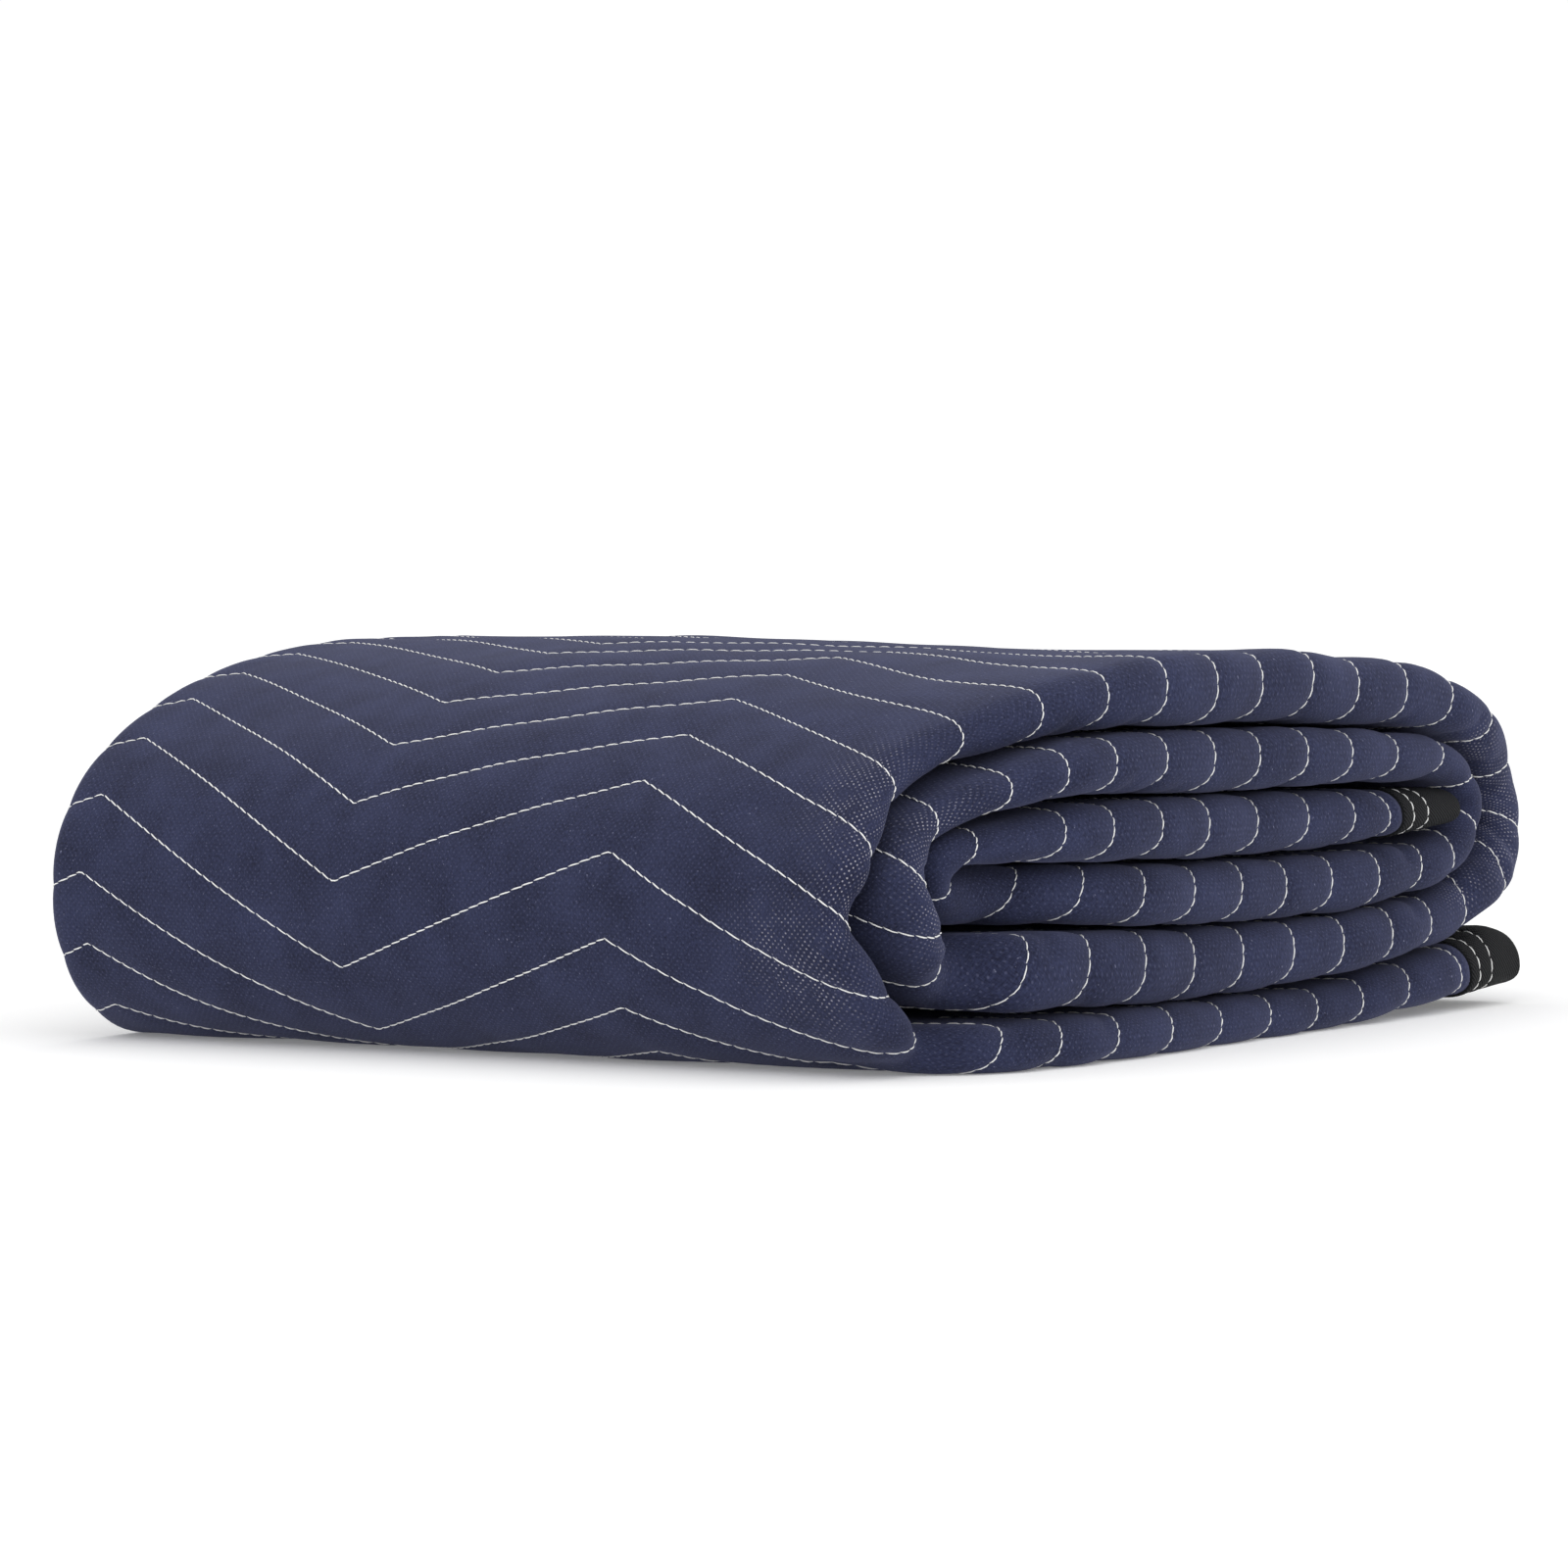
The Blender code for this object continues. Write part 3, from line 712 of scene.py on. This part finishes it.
def finishTape():
    # two crossed sets of diagonal sine waves: strong ribs, broken by weaker bumps; they make the bump and,
    # with a fine mottle, paint the rib crowns lighter as a painted highlight
    tree = twillTree
    spot = clothCoordinates(tree)
    axes = addNode(tree, "SeparateXYZ", None, in0=spot)
    diagonal = addNode(tree, "Math", {"operation": "ADD"}, in0=axes[0], in1=axes[1])[0]
    other = addNode(tree, "Math", {"operation": "SUBTRACT"}, in0=axes[0], in1=axes[1])[0]
    diagonal = addNode(tree, "Math", multiply, in0=diagonal, in1=2 * np.pi / tape["ribStep"])[0]
    other = addNode(tree, "Math", multiply, in0=other, in1=2 * np.pi / tape["bumpStep"])[0]
    ribs = addNode(tree, "Math", {"operation": "SINE"}, in0=diagonal)[0]
    bumps = addNode(tree, "Math", {"operation": "SINE"}, in0=other)[0]
    weave = addNode(tree, "Math", multiplyAdd, in0=bumps, in1=0.5, in2=ribs)[0]
    # painted highlight: the crowns of the ribs turn lighter in colour, over a real mottle of the yarn
    fine = addNode(tree, "TexNoise", None, in0=spot, in2=1 / tape["mottle"], in3=3.0)[0]
    fine = addNode(tree, "Math", multiplyAdd, in0=fine, in1=1.6, in2=weave)[0]
    shade = addNode(tree, "MapRange", None, in0=fine, in1=-0.2, in2=2.5)[0]
    dark, light = linear(tape["dark"]), linear(tape["light"])
    colour = addNode(tree, "Mix", mixColours, in0=shade, in6=dark, in7=light)[2]
    tree.links.new(colour, twillShader.inputs["Base Color"])
    bump = addNode(tree, "Bump", None, in0=0.6, in1=tape["bumpDepth"] * 0.001, in3=weave)[0]
    tree.links.new(bump, twillShader.inputs["Normal"])
    twillShader.inputs["Specular IOR Level"].default_value = 0.15


# Sewing thread: four stations along each stitch, in millimetres
sewing = {
    "stitch": 4.4,
    "gap": 0.2,
    "stations": (0, 0.3, 0.7, 1.0),
    "girth": (0.13, 0.22, 0.22, 0.13),
    "arch": (-0.04, 0.18, 0.18, -0.04),
    "slant": (-0.16, -0.07, 0.07, 0.16),
    "flattened": 0.85,
    # size of the painted light and shade of the twist, then its painted shade and highlight colours
    "paintedTwistShade": 0.4,  # size of the light and dark of the twist
    "dark": "#efeeea",
    "light": "#ffffff",
}


def finishThread():
    tree = threadTree
    spot = addNode(tree, "TexCoord")[3]
    # painted light and shade of the twist: noise moves the colour between near white and white
    paintedTwistShade = addNode(tree, "TexNoise", None, in0=spot, in2=1000 / sewing["paintedTwistShade"], in3=2.0)[0]
    dark, light = linear(sewing["dark"]), linear(sewing["light"])
    colour = addNode(tree, "Mix", mixColours, in0=paintedTwistShade, in6=dark, in7=light)[2]
    tree.links.new(colour, threadShader.inputs["Base Color"])
    threadShader.inputs["Specular IOR Level"].default_value = 0.3


finishCloth()
finishTape()
finishThread()


def blanketCloth():
    # the quilted cloth: dense where it shows, coarse inside, closed at both ends
    # rows lie closer together beside each seam
    share = np.array([0, 0.03, 0.075, 0.14, 0.22, 0.31, 0.41, 0.52, 0.63, 0.73, 0.82, 0.89, 0.95])
    rows = np.concatenate([a + (b - a) * share for a, b in zip(lines[:-1], lines[1:])])
    rows = rows[(rows > firstFace + 1.5) & (rows < lastFace - 1.5)]
    rows = np.concatenate([[firstFace], rows, [lastFace]])
    spare = (len(rows) - 1) % 4
    # a few rows near the end go, so that every fourth row is also one of the inner skin
    rows = np.delete(rows, np.arange(len(rows) - 3 - spare, len(rows) - 3))
    faceColumns = 96
    pieces = [
        np.linspace(-faceEnd - lipThreeArc, -faceEnd, 7)[:-1],
        np.array([-faceEnd, -190]),
        np.linspace(-quarterArc - 48, -quarterArc, 7)[:-1],
        np.linspace(-quarterArc, quarterArc, 19)[:-1],
        np.linspace(quarterArc, 308, faceColumns + 1)[:-1],
        np.linspace(308, faceEnd, 6)[:-1],
        np.linspace(faceEnd, faceEnd + lipTwoArc, 7),
    ]
    columns = np.concatenate(pieces)
    faceFrom = sum(len(p) for p in pieces[:4])
    faceTo = faceFrom + faceColumns
    row, v = np.meshgrid(rows, columns, indexing="ij")
    face = sheared(row, v)
    s = np.interp(face, faceLength, length)
    points = skin(s, v, relief(row, v))
    # only every eighth column is kept on the hidden part of the outer face
    dense = (rows > visibleFrom - 40) & (rows < hiddenFrom + 20)
    first, last = np.flatnonzero(dense)[[0, -1]]
    keep = np.ones(row.shape, bool)
    column = np.arange(len(columns))
    thinned = (column > faceFrom) & (column < faceTo) & ((column - faceFrom) % 8 != 0)
    outside = np.ones(len(rows), bool)
    outside[first : last + 1] = False
    keep[np.ix_(outside, thinned)] = False
    ids = np.full(row.shape, -1)
    ids[keep] = np.arange(keep.sum())
    inner = hiddenSkin(np.interp(rows[::4], faceLength, length))
    innerIds = np.arange(inner.shape[0] * inner.shape[1]).reshape(inner.shape[:2]) + keep.sum()
    wide = np.arange(faceFrom, faceTo + 1, 8)
    faces = [
        quads(ids[:, : faceFrom + 1]),
        quads(ids[:, faceTo:]),
        quads(ids[first : last + 1, faceFrom : faceTo + 1]),
        quads(ids[: first, wide]),
        quads(ids[last + 1 :, wide]),
        fan(ids[first - 1, wide], ids[first, faceFrom : faceTo + 1], 8),
        fan(ids[last + 1, wide], ids[last, faceFrom : faceTo + 1], 8),
        quads(innerIds),
        fan(innerIds[:, 0], ids[:, -1], 4),
        fan(innerIds[:, -1], ids[:, 0], 4),
    ]
    for end in (0, -1):
        loop = ids[end][ids[end] >= 0].tolist() + innerIds[end].tolist()
        faces.append(np.array(loop))
    flat = np.concatenate([points[keep], inner.reshape(-1, 3)])
    flatMap = np.stack([face, across(s, v)], -1)[keep]
    innerMap = np.zeros((innerIds.size, 2))
    weave = np.concatenate([flatMap, innerMap]) * 0.001
    pale = np.concatenate([paleness(s, v)[keep], np.zeros(innerIds.size)])
    return makePiece("quilted_blanket", flat, faces, cotton, uvs={"weave": weave}, values={"stretch": pale})


def bindingTape(name, start, end):
    # bound end: the same folds a little fuller, closed ends, edges rounded over
    run = np.linspace(0, 1, 31) * strip["binding"]
    rim = np.clip(1 - run / tape["rim"][1], 0, 1)
    butt = np.clip(1 - (strip["binding"] - run) / tape["butt"][1], 0, 1)
    lift = tape["raised"] - tape["rim"][0] * (1 - np.sqrt(1 - rim**2)) - tape["butt"][0] * butt
    for rowAt in tape["rows"]:
        lift = lift - tape["pull"][0] * np.exp(-np.abs(run - strip["binding"] + rowAt) / tape["pull"][1])
    s = start + (end - start) * run / strip["binding"]
    v = np.concatenate(
        [
            np.linspace(-faceEnd - lipThreeArc, -faceEnd, 9)[:-1],
            np.array([-faceEnd, -190, -90, -40]),
            np.linspace(-quarterArc, quarterArc, 21)[:-1],
            np.linspace(quarterArc, faceEnd, 60)[:-1],
            np.linspace(faceEnd, faceEnd + lipTwoArc, 9),
        ]
    )
    outer = skin(s[:, None], v[None, :], lift[:, None])
    inner = hiddenSkin(s, np.minimum(lift, 0.0)[:, None])
    points = np.concatenate([outer, inner], 1)
    ids = np.arange(points.shape[0] * points.shape[1]).reshape(points.shape[:2])
    around = np.concatenate([ids, ids[:, :1]], 1)
    onTape = np.concatenate([v, np.full(inner.shape[1], v[-1])])
    weave = np.stack(np.broadcast_arrays(s[:, None], onTape), -1).reshape(-1, 2) * 0.001
    return makePiece(name, points, [quads(around), ids[0], ids[-1]], twill, uvs={"weave": weave})


def dashes(name, s, v, lift, material):
    # one small arched thread a stitch: s, v and lift hold four points along each
    centre = skin(s, v, lift)
    above = skin(s, v, lift + 0.5)
    up = above - centre
    up /= np.linalg.norm(up, axis=-1)[..., None]
    along = np.gradient(centre, axis=1)
    along /= np.linalg.norm(along, axis=-1)[..., None]
    side = np.cross(along, up)
    aroundThread = np.arange(6) * np.pi / 3
    girth = np.array(sewing["girth"])[None, :, None, None] * 0.001
    centre = centre + side * np.array(sewing["slant"])[None, :, None] * 0.001
    ring = side[:, :, None] * np.cos(aroundThread)[None, None, :, None]
    ring = ring + sewing["flattened"] * up[:, :, None] * np.sin(aroundThread)[None, None, :, None]
    points = centre[:, :, None] + girth * ring
    points[..., 2] = np.maximum(points[..., 2], 0)  # none goes through the floor
    ids = np.arange(points[..., 0].size).reshape(points.shape[:3])
    a, b = ids[:, :-1], ids[:, 1:]
    sides = np.stack([a, b, np.roll(b, -1, 2), np.roll(a, -1, 2)], -1).reshape(-1, 4)
    caps = np.concatenate([ids[:, 0, ::-1], ids[:, -1]])
    return makePiece(name, points, [sides, caps], material)


def seamDashes():
    # stitches of the zigzag, stepped by length along each line
    random = np.random.default_rng(4)
    allRow, allV = [], []
    v = np.arange(-quarterArc - 46, faceEnd + lipTwoArc * 0.8, 0.5)
    step = np.hypot(np.gradient(sheared(800.0, v)), np.gradient(v))
    walk = np.cumsum(step)
    pitch, stations = sewing["stitch"], np.array(sewing["stations"])
    lipV = np.linspace(-faceEnd - lipThreeArc, -faceEnd + 8, 60)
    lipWalk = np.cumsum(np.full(60, lipV[1] - lipV[0]))
    for line in lines:
        for grid, track in ((v, walk), (lipV, lipWalk)):
            begin = np.arange(random.uniform(0, pitch), track[-1] - pitch, pitch)
            jitter = random.uniform(-0.25, 0.25, len(begin))
            ends = np.stack([begin, begin + pitch - sewing["gap"]], 1) + jitter[:, None]
            t = ends[:, :1] + (ends[:, 1:] - ends[:, :1]) * stations
            spot = np.interp(t, track, grid)
            middleV = spot.mean(1)
            seen = showing(np.full(len(middleV), line), middleV) > 0.6
            allV.append(spot[seen])
            allRow.append(np.full(spot[seen].shape, line))
    row, v = np.concatenate(allRow), np.concatenate(allV)
    face = sheared(row, v)
    inside = (face.min(1) > firstFace + 1) & (face.max(1) < lastFace - 1)
    row, v, face = row[inside], v[inside], face[inside]
    s = np.interp(face, faceLength, length)
    return dashes("quilting_stitches", s, v, relief(row, v) + np.array(sewing["arch"]), thread)


def tapeDashes(name, start, end):
    # two straight rows on each tape, stepped evenly across it
    stations, span = np.array(sewing["stations"]), sewing["stitch"] - sewing["gap"]
    random = np.random.default_rng(11)
    v = np.arange(-quarterArc - 60, faceEnd + lipTwoArc, 0.5)
    lipV = np.arange(-faceEnd - lipThreeArc, -faceEnd + 8, 0.5)
    allV, allS = [], []
    for rowAt in tape["rows"]:
        s = end + (start - end) * rowAt / strip["binding"]
        for grid in (v, lipV):
            begin = np.arange(grid[0] + random.uniform(0, 4), grid[-1] - 4.2, sewing["stitch"])
            spot = begin[:, None] + stations * span
            allV.append(spot)
            allS.append(np.full(spot.shape, s))
    v, s = np.concatenate(allV), np.concatenate(allS)
    return dashes(name, s, v, np.full(v.shape, -0.1) + np.array(sewing["arch"]), thread)


blanket = blanketCloth()
seams = seamDashes()
tapeOuter = bindingTape("binding_tape_outer", 0.0, strip["binding"])
tapeInner = bindingTape("binding_tape_inner", total, total - strip["binding"])
sewnOuter = tapeDashes("binding_stitches_outer", 0.0, strip["binding"])
sewnInner = tapeDashes("binding_stitches_inner", total, total - strip["binding"])

for piece, node, slotName in (
    (blanket, "blanket", "quilted_cotton"),
    (tapeOuter, "binding_outer", "binding_twill"),
    (tapeInner, "binding_inner", "binding_twill"),
):
    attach(piece, "root")
    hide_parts(node)
for piece in (seams, sewnOuter, sewnInner):
    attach(piece, "root")

# Floor, light and camera
studio = {
    "eye": (-1445.4, -1080.2, 151.2),
    "turn": -53.0,
    "horizonPixels": 260.0,
    "focalPixels": 6000.0,
    "roll": 0.9,
    "sensor": 36.0,
    "framePixels": 1600,
    "fill": 0.68,
    "sun": 1.15,
    "sunSpread": 1.7,
    "sunTurn": (0.35, -0.2, 0),
    "paperGlow": 0.16,
    "boxAt": (-1.0, -1.9, 1.1),
    "boxAim": (0, 0, 0.05),
    "boxSize": (1.2, 1.0),
    "boxPower": 4,
}
floorMesh = bpy.data.meshes.new("floor")
floorMesh.from_pydata([(-6, -6, 0), (6, -6, 0), (6, 6, 0), (-6, 6, 0)], [], [(0, 1, 2, 3)])
floor = bpy.data.objects.new("floor", floorMesh)
bpy.context.scene.collection.objects.link(floor)
paper, _, paperShader = newMaterial("white studio paper", "#fbfbfb", 0.95)
# a little light of its own keeps it as white as a lit backdrop
paperShader.inputs["Emission Color"].default_value = (1, 1, 1, 1)
paperShader.inputs["Emission Strength"].default_value = studio["paperGlow"]
floorMesh.materials.append(paper)

world = bpy.data.worlds.new("studio")
bpy.context.scene.world = world
world.use_nodes = True
# the backdrop is plain white to the eye, and lights the blanket less than the lamps do
backdrop = world.node_tree.nodes["Background"]
backdrop.inputs[0].default_value = (1, 1, 1, 1)
eyeRay = addNode(world.node_tree, "LightPath")[0]
strength = addNode(world.node_tree, "MapRange", None, in0=eyeRay, in3=studio["fill"], in4=1.02)[0]
world.node_tree.links.new(strength, backdrop.inputs[1])


def softbox(name, spot, aim, size, power):
    # a square lamp turned to face its aim: its axes are the way back, right and up
    lamp = bpy.data.lights.new(name, "AREA")
    lamp.shape = "RECTANGLE"
    lamp.size, lamp.size_y = size
    lamp.energy = power
    thing = bpy.data.objects.new(name, lamp)
    back = np.array(spot, float) - np.array(aim, float)
    back /= np.linalg.norm(back)
    right = np.cross((0, 0, 1), back)
    right /= np.linalg.norm(right)
    turned = np.column_stack([right, np.cross(back, right), back])
    thing.matrix_world = Matrix.Translation(spot) @ Matrix(turned.tolist()).to_4x4()
    bpy.context.scene.collection.objects.link(thing)


softbox("front softbox", studio["boxAt"], studio["boxAim"], studio["boxSize"], studio["boxPower"])
# one very wide soft light overhead, the same all over the floor
ceiling = bpy.data.lights.new("ceiling light", "SUN")
ceiling.energy = studio["sun"]
ceiling.angle = studio["sunSpread"]
lamp = bpy.data.objects.new("ceiling light", ceiling)
lamp.rotation_euler = studio["sunTurn"]
bpy.context.scene.collection.objects.link(lamp)

print("studio lit")

turn, roll = np.radians(studio["turn"]), np.radians(studio["roll"])
pitch = np.arctan2(studio["horizonPixels"], studio["focalPixels"])
level = np.array([np.cos(turn), np.sin(turn), 0])
back = np.array([np.sin(turn) * np.cos(pitch), -np.cos(turn) * np.cos(pitch), np.sin(pitch)])
upright = np.cross(back, level)
right = np.cos(roll) * level - np.sin(roll) * upright
upright = np.sin(roll) * level + np.cos(roll) * upright
lens = bpy.data.cameras.new("camera")
lens.sensor_width = studio["sensor"]
lens.lens = studio["focalPixels"] * studio["sensor"] / studio["framePixels"]
lens.clip_end = 50
camera = bpy.data.objects.new("camera", lens)
axes = Matrix(np.column_stack([right, upright, back]).tolist()).to_4x4()
camera.matrix_world = Matrix.Translation([c * 0.001 for c in studio["eye"]]) @ axes
bpy.context.scene.collection.objects.link(camera)
bpy.context.scene.camera = camera
bpy.context.scene.view_settings.view_transform = "Standard"
